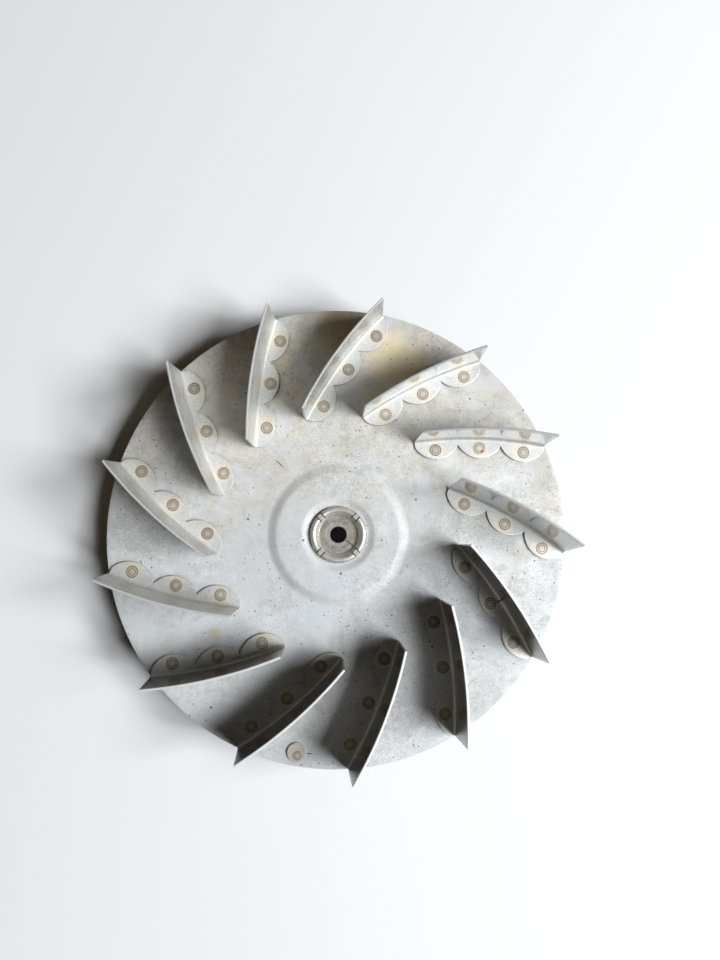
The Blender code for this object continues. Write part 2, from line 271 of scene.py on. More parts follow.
def curve_centre():
    """Centre of a blade's curve, with its fold's outer end on +X."""
    outer = Vector((BLADE_OUTER_RADIUS, 0))
    inner = BLADE_INNER_RADIUS * Vector((math.cos(BLADE_SWEEP), math.sin(BLADE_SWEEP)))
    along = (outer - inner).normalized()
    half_chord = (outer - inner).length / 2
    distance = math.sqrt(BLADE_CURVE_RADIUS**2 - half_chord**2)
    return (outer + inner) / 2 + distance * Vector((along.y, -along.x))


CURVE_CENTRE = curve_centre()
OUTER_ANGLE = math.atan2(-CURVE_CENTRE.y, BLADE_OUTER_RADIUS - CURVE_CENTRE.x)
INNER_ANGLE = math.atan2(
    BLADE_INNER_RADIUS * math.sin(BLADE_SWEEP) - CURVE_CENTRE.y,
    BLADE_INNER_RADIUS * math.cos(BLADE_SWEEP) - CURVE_CENTRE.x,
)


def on_curve(angle, radius):
    """A point of the first blade's sector from its angle and radius about the curve's centre."""
    return CURVE_CENTRE + radius * Vector((math.cos(angle), math.sin(angle)))


def blade_turn(number):
    """How far round the wheel blade 1, 2, ... stands."""
    return FIRST_BLADE_ANGLE - SECTOR * (number - 1)


def blade_place(number, point):
    """A point of the first blade's sector, at another blade."""
    return Matrix.Rotation(blade_turn(number), 2) @ point


def weld_places():
    """The three weld centres of the first blade's sector, from the outer end inwards."""
    middle = (OUTER_ANGLE + INNER_ANGLE) / 2
    radius = BLADE_CURVE_RADIUS - WELD_DEPTH
    return [on_curve(middle + (i - 1) * WELD_PITCH, radius) for i in range(WELDS_PER_BLADE)]


# ---- materials


class Graph:
    """A material and short ways to add nodes to it. A source is a socket or a plain value."""

    def __init__(self, name):
        self.material = bpy.data.materials.new(name)
        self.material.use_nodes = True
        self.tree = self.material.node_tree
        self.shader = self.tree.nodes["Principled BSDF"]

    def add(self, kind, **settings):
        node = self.tree.nodes.new(kind)
        for key, value in settings.items():
            setattr(node, key, value)
        return node

    def feed(self, target, source):
        if isinstance(source, bpy.types.NodeSocket):
            self.tree.links.new(source, target)
        else:
            target.default_value = source

    def math(self, operation, *sources):
        node = self.add("ShaderNodeMath", operation=operation)
        for target, source in zip(node.inputs, sources):
            self.feed(target, source)
        return node.outputs[0]

    def plus(self, first, second):
        return self.math("ADD", first, second)

    def minus(self, first, second):
        return self.math("SUBTRACT", first, second)

    def times(self, first, second):
        return self.math("MULTIPLY", first, second)

    def span(self, value, low, high, to_low=0.0, to_high=1.0, smooth=True):
        """value from low..high onto to_low..to_high, held at both ends."""
        kind = "SMOOTHSTEP" if smooth else "LINEAR"
        node = self.add("ShaderNodeMapRange", interpolation_type=kind)
        sources = (value, low, high, to_low, to_high)
        names = ("Value", "From Min", "From Max", "To Min", "To Max")
        for name, source in zip(names, sources):
            self.feed(node.inputs[name], source)
        return node.outputs["Result"]

    def blend(self, share, first, second, mode="MIX"):
        node = self.add("ShaderNodeMix", data_type="RGBA", blend_type=mode)
        self.feed(node.inputs[0], share)
        for target, source in ((node.inputs[6], first), (node.inputs[7], second)):
            self.feed(target, source if isinstance(source, bpy.types.NodeSocket) else (*source, 1.0))
        return node.outputs[2]

    def tint(self, base, share, strength, colour):
        """base, with a colour laid over it where share is 1."""
        return self.blend(self.times(share, strength), base, colour)

    def shade(self, base, value):
        """base, multiplied by the grey of one number."""
        grey = self.add("ShaderNodeCombineColor")
        for target in grey.inputs:
            self.feed(target, value)
        return self.blend(1.0, base, grey.outputs[0], "MULTIPLY")

    def position(self):
        return self.add("ShaderNodeTexCoord").outputs["Object"]

    def scaled(self, vector, scale):
        node = self.add("ShaderNodeVectorMath", operation="MULTIPLY")
        self.feed(node.inputs[0], vector)
        node.inputs[1].default_value = scale
        return node.outputs[0]

    def flat(self, vector):
        """The same place on the XY plane."""
        return self.scaled(vector, (1.0, 1.0, 0.0))

    def parts(self, vector):
        """The x, y and z of a vector."""
        node = self.add("ShaderNodeSeparateXYZ")
        self.feed(node.inputs[0], vector)
        return node.outputs

    def joined(self, x, y):
        node = self.add("ShaderNodeCombineXYZ")
        self.feed(node.inputs[0], x)
        self.feed(node.inputs[1], y)
        return node.outputs[0]

    def turned(self, vector, angle, centre=(0, 0)):
        """A vector turned about an upright axis."""
        node = self.add("ShaderNodeVectorRotate", rotation_type="Z_AXIS")
        self.feed(node.inputs[0], vector)
        node.inputs["Center"].default_value = (*centre, 0)
        node.inputs["Angle"].default_value = angle
        return node.outputs[0]

    def mapped(self):
        return self.add("ShaderNodeUVMap", uv_map="sheet").outputs[0]

    def wander(self, noise):
        """How far a ragged outline strays, from noise about 0.5."""
        return self.times(self.minus(noise, 0.5), 0.7 * MM)

    def noise(self, vector, size, detail=3.0, rough=0.5, twist=0.0):
        """Noise whose lumps are about size metres across."""
        node = self.add("ShaderNodeTexNoise")
        self.feed(node.inputs["Vector"], vector)
        node.inputs["Scale"].default_value = 1 / size
        node.inputs["Detail"].default_value = detail
        node.inputs["Roughness"].default_value = rough
        node.inputs["Distortion"].default_value = twist
        return node.outputs["Fac"]

    def specks(self, vector, size, share, radius):
        """1 inside scattered round dots: cells of size metres, of which share hold a dot."""
        node = self.add("ShaderNodeTexVoronoi")
        self.feed(node.inputs["Vector"], vector)
        node.inputs["Scale"].default_value = 1 / size
        split = self.add("ShaderNodeSeparateColor")
        self.feed(split.inputs[0], node.outputs["Color"])
        pick, chance, _ = split.outputs
        held = self.math("LESS_THAN", pick, share)
        reach = self.times(self.plus(chance, 0.4), radius / size)
        inside = self.span(self.math("DIVIDE", node.outputs["Distance"], reach), 1.0, 0.5)
        return self.times(held, inside)

    def bump(self, height, distance, strength):
        node = self.add("ShaderNodeBump")
        self.feed(node.inputs["Height"], height)
        node.inputs["Distance"].default_value = distance
        node.inputs["Strength"].default_value = strength
        return node.outputs[0]

    def finish(self, colour, roughness, metallic, normal=None):
        self.feed(self.shader.inputs["Base Color"], colour)
        self.feed(self.shader.inputs["Roughness"], roughness)
        self.feed(self.shader.inputs["Metallic"], metallic)
        if normal is not None:
            self.feed(self.shader.inputs["Normal"], normal)
        return self.material


def sector_position(graph, position):
    """Turns every blade's sector onto the first, so that one rule serves all thirteen."""
    x, y, _ = graph.parts(position)
    angle = graph.minus(graph.math("ARCTAN2", y, x), FIRST_BLADE_ANGLE)
    angle = graph.math("WRAP", angle, SECTOR_START + SECTOR, SECTOR_START)
    squares = [graph.math("POWER", side, 2.0) for side in (x, y)]
    radius = graph.math("SQRT", graph.plus(*squares))
    sides = [graph.times(radius, graph.math(name, angle)) for name in ("COSINE", "SINE")]
    return graph.joined(*sides)


def distance_to(graph, vector, point):
    """Distance to a point of the XY plane."""
    node = graph.add("ShaderNodeVectorMath", operation="DISTANCE")
    graph.feed(node.inputs[0], vector)
    node.inputs[1].default_value = (point.x, point.y, 0)
    return node.outputs["Value"]


def nearest(graph, vector, points):
    """Distance to the nearest of some points of the XY plane."""
    result = distance_to(graph, vector, points[0])
    for point in points[1:]:
        result = graph.math("MINIMUM", result, distance_to(graph, vector, point))
    return result


def sheet_grain(graph, position):
    """Height of the fine orange-peel grain of mill-finished sheet, 0 to 1."""
    fine = graph.noise(position, 0.6 * MM, 2.0, 0.6)
    coarse = graph.noise(position, 2.4 * MM, 3.0, 0.6)
    return graph.plus(graph.times(fine, 0.75), graph.times(coarse, 0.25))


def plate_material():
    """Mill-finished sheet: sandy grain, smooth bluish washes, warm tint and scattered dark specks, with
    painted light and shade: warm bounce light behind blades 2 and 3, shade round the blade feet and toward
    the top, and white glints.
    """
    graph = Graph("stained_stainless_disc")
    position = graph.position()
    _, y, z = graph.parts(position)
    clouds = graph.noise(position, 60 * MM, 4.0, 0.6, 0.6)
    patches = graph.noise(position, 17 * MM, 4.0, 0.55, 1.0)
    wash_noise = graph.noise(position, 26 * MM, 3.0, 0.55, 2.0)
    grain = sheet_grain(graph, position)
    climb = graph.plus(y, graph.times(clouds, 120 * MM))
    warm = graph.span(climb, 20 * MM, 130 * MM)
    colour = graph.blend(warm, (0.665, 0.68, 0.69), (0.70, 0.66, 0.59))
    stain = graph.span(patches, 0.50, 0.68)
    colour = graph.tint(colour, stain, 0.35, (0.52, 0.50, 0.455))
    wash = graph.span(wash_noise, 0.53, 0.57)
    colour = graph.tint(colour, wash, 0.6, (0.69, 0.70, 0.715))
    # Dark brown soot patches, heavier toward the top of the disc, where they also stand in for painted
    # shade.
    soot_noise = graph.span(graph.noise(position, 10 * MM, 6.0, 0.75, 0.5), 0.44, 0.62)
    soot_and_top_shade = graph.times(soot_noise, graph.span(climb, 0, 110 * MM, 0.15, 1.0))
    colour = graph.tint(colour, soot_and_top_shade, 0.36, (0.44, 0.405, 0.345))
    chalk = graph.span(patches, 0.42, 0.30)
    colour = graph.tint(colour, chalk, 0.45, (0.84, 0.84, 0.82))
    dusty = graph.span(graph.noise(position, 36 * MM, 2.0), 0.40, 0.66, 0.30, 1.0)
    dusty = graph.plus(dusty, graph.times(soot_and_top_shade, 0.3))
    deep = graph.minus(dusty, graph.times(wash, 0.25))
    salt = graph.times(graph.minus(grain, 0.5), deep)
    mottled = graph.span(salt, -0.14, 0.14, 0.78, 1.16, smooth=False)
    colour = graph.shade(colour, mottled)
    sector = sector_position(graph, position)
    lobes = [on_curve(lobe_middle(i), lobe_centre_radius()) for i in range(LOBE_COUNT)]
    past_lobe = graph.minus(nearest(graph, sector, lobes), LOBE_RADIUS)
    # Dirt and painted shade: a dark brown band round the outside of each blade's foot lobes, on the front.
    grime_noise = graph.span(graph.noise(position, 3.5 * MM, 4.0, 0.7), 0.45, 0.65)
    front = graph.span(z, PLATE_TOP - 0.8 * MM, PLATE_TOP - 0.4 * MM)
    grime_and_shade = graph.times(graph.span(past_lobe, 2.2 * MM, 0), grime_noise)
    grime_and_shade = graph.times(grime_and_shade, front)
    colour = graph.tint(colour, grime_and_shade, 0.30, (0.26, 0.225, 0.18))
    weld = nearest(graph, sector, weld_places())
    under = graph.span(z, PLATE_TOP - 0.6 * MM, PLATE_TOP - 1.0 * MM, smooth=False)
    straw = graph.times(graph.span(weld, 6.5 * MM, 3 * MM), under)
    colour = graph.tint(colour, straw, 0.5, (0.52, 0.42, 0.28))
    flat = graph.flat(position)
    # Painted warm bounce light where a tint is light gold; brown patches where it is dark straw.
    for centre, reach, strength, tint_colour in STAINS_AND_BOUNCE_LIGHT:
        wander = graph.times(graph.minus(patches, 0.5), 1.6 * reach)
        away = graph.plus(distance_to(graph, flat, Vector(centre)), wander)
        heat = graph.times(graph.span(away, 1.15 * reach, 0.3 * reach), front)
        colour = graph.tint(colour, heat, strength, tint_colour)
    crowd = graph.span(graph.noise(position, 30 * MM, 2.0), 0.36, 0.60, 0.14, 0.66)
    dots = graph.specks(position, 2.6 * MM, crowd, 0.42 * MM)
    big_dots = graph.specks(position, 9 * MM, 0.40, 0.68 * MM)
    dark = graph.math("MAXIMUM", dots, big_dots)
    colour = graph.tint(colour, dark, 0.85, (0.075, 0.062, 0.05))
    # Painted glints: small near-white dots scattered over the disc.
    stretched = graph.scaled(position, (1.0, 1.0, 1.02))
    bright = graph.specks(stretched, 3.2 * MM, 0.12, 0.26 * MM)
    colour = graph.tint(colour, bright, 0.7, (0.95, 0.95, 0.94))
    rust = graph.specks(position, 17 * MM, 0.14, 0.7 * MM)
    colour = graph.tint(colour, rust, 0.55, (0.34, 0.19, 0.10))
    roughness = graph.span(patches, 0.3, 0.7, 0.62, 0.74)
    roughness = graph.minus(roughness, graph.times(wash, 0.06))
    metallic = graph.span(graph.math("MAXIMUM", dark, grime_and_shade), 0.0, 1.0, 0.22, 0.08)
    height = graph.minus(grain, graph.times(dark, 1.5))
    normal = graph.bump(height, 0.03 * MM, 0.8)
    return graph.finish(colour, roughness, metallic, normal)


def blade_material(name, gloss, base, edge):
    """Blade sheet with a matt foot and dark painted shade lines along the foot's edges. The web's gloss
    runs from 0, dusty, to 1, clean, and edge is the grey of its top edge, a painted highlight where pale
    and painted shade where dark."""
    graph = Graph(name)
    position = graph.position()
    z = graph.parts(position)[2]
    foot = graph.span(z, FOOT_TOP + 2.2 * MM, FOOT_TOP + 0.6 * MM)
    along = graph.mapped()
    streaks = graph.noise(graph.scaled(along, (1.0, 7.0, 1.0)), 11 * MM, 4.0, 0.6)
    patches = graph.noise(position, 9 * MM, 5.0, 0.65, 0.8)
    grain = sheet_grain(graph, position)
    stain = graph.span(patches, 0.50, 0.70)
    web = graph.tint(base, stain, 0.45 - 0.3 * gloss, (0.46, 0.44, 0.40))
    streak_grey = graph.span(streaks, 0.34, 0.66, 0.84 + 0.10 * gloss, 1.08 - 0.04 * gloss, smooth=False)
    web = graph.shade(web, streak_grey)
    dirt = graph.span(graph.noise(graph.scaled(along, (1.0, 3.0, 1.0)), 6 * MM, 5.0, 0.75), 0.44, 0.60)
    web = graph.tint(web, dirt, 0.65 - 0.5 * gloss, (0.38, 0.36, 0.32))
    web_salt = graph.span(grain, 0.34, 0.66, 0.84 + 0.12 * gloss, 1.12 - 0.08 * gloss, smooth=False)
    web = graph.shade(web, web_salt)
    tread = graph.tint((0.68, 0.675, 0.65), stain, 0.35, (0.56, 0.535, 0.48))
    weld = nearest(graph, sector_position(graph, position), weld_places())
    halo = graph.span(weld, 8.0 * MM, 3.2 * MM)
    halo = graph.times(halo, graph.span(patches, 0.30, 0.62, 0.15, 1.0))
    tread = graph.tint(tread, halo, 0.7, (0.80, 0.72, 0.58))
    salt = graph.span(grain, 0.34, 0.66, 0.86, 1.12, smooth=False)
    tread = graph.shade(tread, salt)
    colour = graph.blend(foot, web, tread)
    # Painted shade: the upright cut edges of the foot, and their bevels, are darkened into dark outline
    # lines.
    facing = graph.parts(graph.add("ShaderNodeNewGeometry").outputs["True Normal"])[2]
    upright = graph.span(graph.math("ABSOLUTE", facing), 0.98, 0.7)
    below = graph.span(z, FOOT_TOP + 0.1 * MM, FOOT_TOP - 0.1 * MM)
    painted_edge_shade = graph.times(upright, below)
    colour = graph.tint(colour, painted_edge_shade, 0.8, (0.20, 0.18, 0.15))
    # Painted highlight and shade on the top edge: it takes the finish's own grey, pale for the blades
    # whose edges catch the light and dark for the others.
    rim = graph.span(z, BLADE_TOP - 0.35 * MM, BLADE_TOP - 0.15 * MM)
    colour = graph.blend(rim, colour, (edge, edge, 0.985 * edge))
    matt = graph.math("MAXIMUM", foot, rim)
    dots = graph.specks(position, 3.4 * MM, 0.16, 0.28 * MM)
    colour = graph.tint(colour, dots, 0.75, (0.08, 0.065, 0.05))
    mark = dash(graph, position, FOLD_MARK_CENTRE, FOLD_MARK_ANGLE, FOLD_MARK_LENGTH, FOLD_MARK_WIDTH)
    low = graph.span(z, FOOT_TOP + 4.0 * MM, FOOT_TOP + 3.0 * MM)
    mark = graph.times(mark, low)
    colour = graph.tint(colour, mark, 0.9, (0.02, 0.017, 0.014))
    web_rough = graph.span(patches, 0.3, 0.7, 0.38 - 0.28 * gloss, 0.50 - 0.34 * gloss)
    roughness = graph.add("ShaderNodeMix", data_type="FLOAT")
    graph.feed(roughness.inputs[0], matt)
    graph.feed(roughness.inputs[2], web_rough)
    graph.feed(roughness.inputs[3], graph.span(patches, 0.3, 0.7, 0.42, 0.56))
    metallic = graph.span(matt, 0.0, 1.0, 0.55 + 0.4 * gloss, 0.35)
    relief = graph.times(grain, graph.span(foot, 0.0, 1.0, 0.5 - 0.46 * gloss, 1.0))
    normal = graph.bump(relief, 0.025 * MM, 0.8)
    return graph.finish(colour, roughness.outputs[0], metallic, normal)


def blade_finishes():
    """Each blade's material, by its number."""
    finishes = {}
    for name, gloss, base, edge, numbers in BLADE_FINISHES:
        material = blade_material(name, gloss, base, edge)
        for number in numbers:
            finishes[number] = material
    return finishes


def weld_material():
    """A spot weld's rings: u of the UV map is the distance from its centre, v a random tone."""
    graph = Graph("spot_weld_tint")
    position = graph.position()
    distance, tone, _ = graph.parts(graph.mapped())
    distance = graph.plus(distance, graph.wander(graph.noise(position, 2.5 * MM)))
    centre = graph.blend(tone, (0.70, 0.65, 0.57), (0.45, 0.41, 0.37))
    annulus = graph.blend(tone, (0.70, 0.59, 0.44), (0.47, 0.41, 0.34))
    colour = graph.blend(graph.span(distance, 1.35 * MM, 1.75 * MM), centre, annulus)
    inner_ring = ring(graph, distance, 1.60 * MM, 0.80 * MM)
    outer_ring = ring(graph, distance, 2.68 * MM, 1.05 * MM)
    colour = graph.tint(colour, inner_ring, 0.85, (0.21, 0.165, 0.12))
    tan = graph.blend(tone, (0.30, 0.205, 0.12), (0.19, 0.155, 0.12))
    colour = graph.tint(colour, outer_ring, 0.9, tan)
    rust_spot = blade_place(RUST_BLADE, weld_places()[RUST_WELD]) + RUST_OFFSET
    away = distance_to(graph, graph.flat(position), rust_spot)
    front = graph.span(graph.parts(position)[2], PLATE_TOP, PLATE_TOP + 0.5 * MM)
    rust = graph.times(graph.span(away, 1.0 * MM, 0.5 * MM), front)
    colour = graph.blend(rust, colour, (0.40, 0.10, 0.07))
    mottle = graph.span(graph.noise(position, 0.7 * MM, 3.0, 0.6), 0.3, 0.7, 0.84, 1.1, smooth=False)
    colour = graph.shade(colour, mottle)
    normal = graph.bump(graph.noise(position, 0.5 * MM, 2.0), 0.015 * MM, 0.5)
    return graph.finish(colour, graph.span(mottle, 0.8, 1.1, 0.56, 0.44), 0.45, normal)


def ring(graph, distance, radius, width):
    """1 on a ring, fading to 0 half a width away."""
    rise = graph.span(distance, radius - width / 2, radius)
    fall = graph.span(distance, radius + width / 2, radius)
    return graph.times(rise, fall)


def hub_material():
    """Turned steel: a matt tan face with fine turning marks, and a bright rolled collar, with dirt and
    painted shade in the recess corner, at the collar's foot and in its slits, and painted shade down the
    bore.
    """
    graph = Graph("turned_steel_hub")
    position = graph.position()
    z = graph.parts(position)[2]
    radius = distance_to(graph, graph.flat(position), Vector((0, 0)))
    turning = graph.noise(graph.joined(radius, z), 0.3 * MM, 2.0)
    pits = graph.specks(position, 1.3 * MM, 0.30, 0.26 * MM)
    patches = graph.noise(position, 2.5 * MM, 4.0, 0.65)
    face = graph.span(radius, RECESS_RADIUS - 0.3 * MM, RECESS_RADIUS - 0.6 * MM)
    tan = graph.blend(graph.span(patches, 0.35, 0.65), (0.23, 0.20, 0.16), (0.39, 0.355, 0.305))
    bright = graph.blend(graph.span(patches, 0.4, 0.7), (0.76, 0.73, 0.67), (0.60, 0.57, 0.51))
    inner = graph.span(radius, COUNTERSINK_RADIUS + 0.2 * MM, COUNTERSINK_RADIUS - 0.2 * MM)
    tan = graph.tint(tan, inner, 0.4, (0.46, 0.44, 0.40))
    tan = graph.tint(tan, pits, 0.75, (0.10, 0.085, 0.07))
    colour = graph.blend(face, bright, tan)
    front = graph.span(z, HUB_FACE - 0.6 * MM, HUB_FACE - 0.4 * MM)
    middle = Matrix.Rotation(FACE_SCRATCH_ANGLE, 2) @ Vector((FACE_SCRATCH_RADIUS, 0))
    line = dash(graph, position, middle, FACE_SCRATCH_ANGLE, FACE_SCRATCH_LENGTH, FACE_SCRATCH_WIDTH)
    scratched = graph.times(line, front)
    colour = graph.tint(colour, scratched, 0.9, (0.045, 0.038, 0.03))
    # Dirt and painted shade: darker in the recess corner round the face and at the foot of the collar.
    corner = ring(graph, radius, RECESS_RADIUS - 0.35 * MM, 0.7 * MM)
    outside = graph.span(radius, COLLAR_RADIUS - 0.5 * MM, COLLAR_RADIUS - 0.1 * MM)
    grime_and_shade = graph.times(graph.math("MAXIMUM", corner, outside), front)
    grime_and_shade = graph.times(grime_and_shade, graph.span(patches, 0.25, 0.55, 0.4, 1.0))
    colour = graph.tint(colour, grime_and_shade, 0.75, (0.13, 0.11, 0.085))
    # Dirt and painted shade: the slits beside the tongues are darkened nearly to black.
    slits = graph.times(slit_dirt_and_shade(graph, position, radius), front)
    colour = graph.tint(colour, slits, 0.9, (0.05, 0.042, 0.033))
    # Painted shade: the bore's wall, and the inner edge of its chamfers, are darkened nearly to black.
    bore_shade = graph.span(radius, BORE_RADIUS + 0.12 * MM, BORE_RADIUS + 0.02 * MM)
    colour = graph.tint(colour, bore_shade, 0.85, (0.07, 0.06, 0.05))
    roughness = graph.span(patches, 0.3, 0.7, 0.36, 0.44)
    roughness = graph.plus(graph.times(face, 0.18), roughness)
    relief = graph.minus(turning, pits)
    relief = graph.times(relief, graph.span(face, 0.0, 1.0))
    normal = graph.bump(relief, 0.012 * MM, 0.6)
    return graph.finish(colour, roughness, graph.span(face, 0, 1, 0.6, 0.4), normal)


def dash(graph, position, centre, angle, length, width):
    """1 in a short ragged line on the XY plane, and 0 elsewhere."""
    noise = graph.noise(position, 1.6 * MM, 3.0)
    x, y, _ = graph.parts(graph.turned(position, -angle, centre))
    beyond = graph.math("ABSOLUTE", graph.minus(x, centre.x))
    aside = graph.minus(graph.plus(y, graph.wander(noise)), centre.y)
    narrow = graph.span(graph.math("ABSOLUTE", aside), 0.65 * width, 0.35 * width)
    short = graph.span(beyond, 0.5 * length + 0.15 * MM, 0.5 * length - 0.15 * MM)
    return graph.times(narrow, short)


def slit_dirt_and_shade(graph, position, radius):
    """1 in the slits beside the collar's four tongues, and 0 elsewhere."""
    x, y, _ = graph.parts(graph.turned(position, -FULL_TURN / TONGUE_COUNT / 2))
    aside = graph.math("MINIMUM", graph.math("ABSOLUTE", x), graph.math("ABSOLUTE", y))
    from_slit = graph.minus(aside, (TONGUE_WIDTH + SLIT_WIDTH) / 2)
    narrow = graph.span(graph.math("ABSOLUTE", from_slit), 0.36 * MM, 0.20 * MM)
    outside = graph.span(radius, RECESS_RADIUS + 0.1 * MM, RECESS_RADIUS + 0.6 * MM)
    return graph.times(narrow, outside)


def weight_material():
    """Steel tinted by the weld's heat, with a few dark dots."""
    graph = Graph("heat_tinted_weight")
    position = graph.position()
    patches = graph.noise(position, 2.2 * MM, 4.0, 0.6)
    grain = sheet_grain(graph, position)
    colour = graph.blend(graph.span(patches, 0.35, 0.7), (0.74, 0.68, 0.59), (0.60, 0.54, 0.46))
    dots = graph.specks(position, 1.4 * MM, 0.2, 0.12 * MM)
    colour = graph.tint(colour, dots, 0.7, (0.10, 0.08, 0.06))
    normal = graph.bump(grain, 0.02 * MM, 0.7)
    return graph.finish(colour, graph.span(patches, 0.3, 0.7, 0.40, 0.52), 0.4, normal)


def screw_material():
    """Black oxide, worn in patches."""
    graph = Graph("black_oxide_steel")
    position = graph.position()
    patches = graph.noise(position, 0.8 * MM, 4.0, 0.6)
    colour = graph.blend(graph.span(patches, 0.45, 0.75), (0.045, 0.045, 0.05), (0.12, 0.105, 0.09))
    normal = graph.bump(patches, 0.01 * MM, 0.5)
    return graph.finish(colour, graph.span(patches, 0.3, 0.7, 0.32, 0.5), 0.9, normal)


def scratch_material():
    """Dark, uneven metal of the two scratches on the disc."""
    graph = Graph("dark_scratch")
    tone = graph.noise(graph.position(), 0.4 * MM, 3.0)
    colour = graph.blend(graph.span(tone, 0.35, 0.65), (0.05, 0.042, 0.035), (0.13, 0.11, 0.09))
    return graph.finish(colour, graph.span(tone, 0.3, 0.7, 0.5, 0.7), 0.5)


# ---- shapes


def add_object(name, data):
    piece = bpy.data.objects.new(name, data)
    bpy.context.scene.collection.objects.link(piece)
    return piece


def make_object(name, data, material):
    data.name = name
    data.materials.append(material)
    return add_object(name, data)


def smooth(mesh, degrees):
    """Smooth shading, apart from edges sharper than an angle."""
    mesh.shade_smooth()
    mesh.set_sharp_from_angle(angle=math.radians(degrees))


def arc(centre, radius, start, end, count):
    """Points round an arc from one angle to another, both included."""
    points = []
    for i in range(count + 1):
        angle = start + (end - start) * i / count
        points.append((centre[0] + radius * math.cos(angle), centre[1] + radius * math.sin(angle)))
    return points


def run(start, end, count, eased=False):
    """Points of a straight run from start, left out, to end, or of an S-shaped step when eased."""
    points = []
    for i in range(1, count + 1):
        share = i / count
        rise = (1 - math.cos(math.pi * share)) / 2 if eased else share
        points.append((start[0] + (end[0] - start[0]) * share, start[1] + (end[1] - start[1]) * rise))
    return points


def turned_shape(shape, profile, segments, place=(0, 0, 0)):
    """Adds the solid of revolution of a closed (radius, height) outline to a bmesh, about an upright
    axis through place, and returns its faces."""
    rings = []
    for radius, height in profile:
        ring_points = []
        for i in range(segments):
            angle = FULL_TURN * i / segments
            x = radius * math.cos(angle) + place[0]
            y = radius * math.sin(angle) + place[1]
            ring_points.append(shape.verts.new((x, y, height + place[2])))
        rings.append(ring_points)
    faces = []
    for j, ring_points in enumerate(rings):
        next_ring = rings[(j + 1) % len(rings)]
        if profile[j][0] == 0 and profile[(j + 1) % len(profile)][0] == 0:
            continue
        for i in range(segments):
            k = (i + 1) % segments
            faces.append(shape.faces.new((ring_points[i], ring_points[k], next_ring[k], next_ring[i])))
    return faces


def as_mesh(shape):
    mesh = bpy.data.meshes.new("piece")
    shape.to_mesh(mesh)
    shape.free()
    return mesh


def closed_mesh(shape):
    """Welds the points on the axis, turns the faces outwards and returns a mesh."""
    bmesh.ops.remove_doubles(shape, verts=shape.verts, dist=MERGE_DISTANCE)
    bmesh.ops.recalc_face_normals(shape, faces=shape.faces)
    return as_mesh(shape)


def cut(piece, cutter):
    modifier = piece.modifiers.new("cut", "BOOLEAN")
    modifier.operation = "DIFFERENCE"
    modifier.solver = "EXACT"
    modifier.object = cutter


def round_edges(piece, width):
    bevel = piece.modifiers.new("edges", "BEVEL")
    bevel.width = width
    bevel.segments = 2
    bevel.limit_method = "ANGLE"
    bevel.angle_limit = math.radians(50)


def apply_modifiers(piece, degrees):
    """Turns a piece's modifiers into its mesh."""
    graph = bpy.context.evaluated_depsgraph_get()
    mesh = bpy.data.meshes.new_from_object(piece.evaluated_get(graph))
    old = piece.data
    piece.modifiers.clear()
    piece.data = mesh
    mesh.name = piece.name
    bpy.data.meshes.remove(old)
    smooth(mesh, degrees)


# ---- backplate


def plate_sink(x, y):
    """How far the pressed sheet lies below true, in slow waves away from the boss."""
    radius = math.hypot(x, y)
    angle = math.atan2(y, x)
    grow = min(1, max(0, (radius - BOSS_OUTER_RADIUS) / SINK_REACH))
    wave = math.sin(3 * angle + 0.6)
    wave += 0.7 * math.sin(5 * angle + radius / (16 * MM))
    wave += 0.5 * math.sin(2 * angle - radius / (23 * MM))
    return PLATE_SINK * grow * (0.5 + wave / 4.4)


def plate_profile():
    """The closed section of the disc, from the top of its hole outwards and back underneath."""
    top = [(PLATE_HOLE_RADIUS, DISH_FLOOR), (DISH_INNER_RADIUS, DISH_FLOOR)]
    top += run(top[-1], (DISH_OUTER_RADIUS, BOSS_TOP), RAMP_STEPS, eased=True)
    top += run(top[-1], (BOSS_INNER_RADIUS, BOSS_TOP), FLAT_STEPS)
    top += run(top[-1], (BOSS_OUTER_RADIUS, PLATE_TOP), RAMP_STEPS, eased=True)
    rim = PLATE_RADIUS - PLATE_EDGE
    top += run(top[-1], (rim, PLATE_TOP), RIM_FLAT_STEPS)
    rim_top = arc((rim, PLATE_TOP - PLATE_EDGE), PLATE_EDGE, math.pi / 2, 0, CORNER_STEPS)[1:]
    under = [(radius, height - PLATE_THICKNESS) for radius, height in reversed(top)]
    rim_low = arc((rim, PLATE_LOW.z + PLATE_EDGE), PLATE_EDGE, 0, -math.pi / 2, CORNER_STEPS)[:-1]
    return top + rim_top + rim_low + under


def build_backplate(material):
    shape = bmesh.new()
    turned_shape(shape, plate_profile(), PLATE_SEGMENTS)
    for vertex in shape.verts:
        vertex.co.z -= plate_sink(vertex.co.x, vertex.co.y)
    plate = make_object("fan_disc", closed_mesh(shape), material)
    smooth(plate.data, 40)
    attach(plate, "wheel")
    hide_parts("backplate")


# ---- blades


def lobe_middle(lobe):
    """Angle of a lobe's middle about the curve's centre."""
    return OUTER_ANGLE + (INNER_ANGLE - OUTER_ANGLE) * (2 * lobe + 1) / (2 * LOBE_COUNT)


def lobe_centre_radius():
    """Distance from the curve's centre to a lobe's centre."""
    return BLADE_CURVE_RADIUS - LOBE_DEPTH + LOBE_RADIUS


def lobe_reach(angle):
    """Distance from the curve's centre to the foot's scalloped edge."""
    half_width = (INNER_ANGLE - OUTER_ANGLE) / LOBE_COUNT / 2
    lobe = min(LOBE_COUNT - 1, int((angle - OUTER_ANGLE) / (2 * half_width)))
    offset = angle - lobe_middle(lobe)
    centre = lobe_centre_radius()
    return centre * math.cos(offset) - math.sqrt(LOBE_RADIUS**2 - (centre * math.sin(offset)) ** 2)


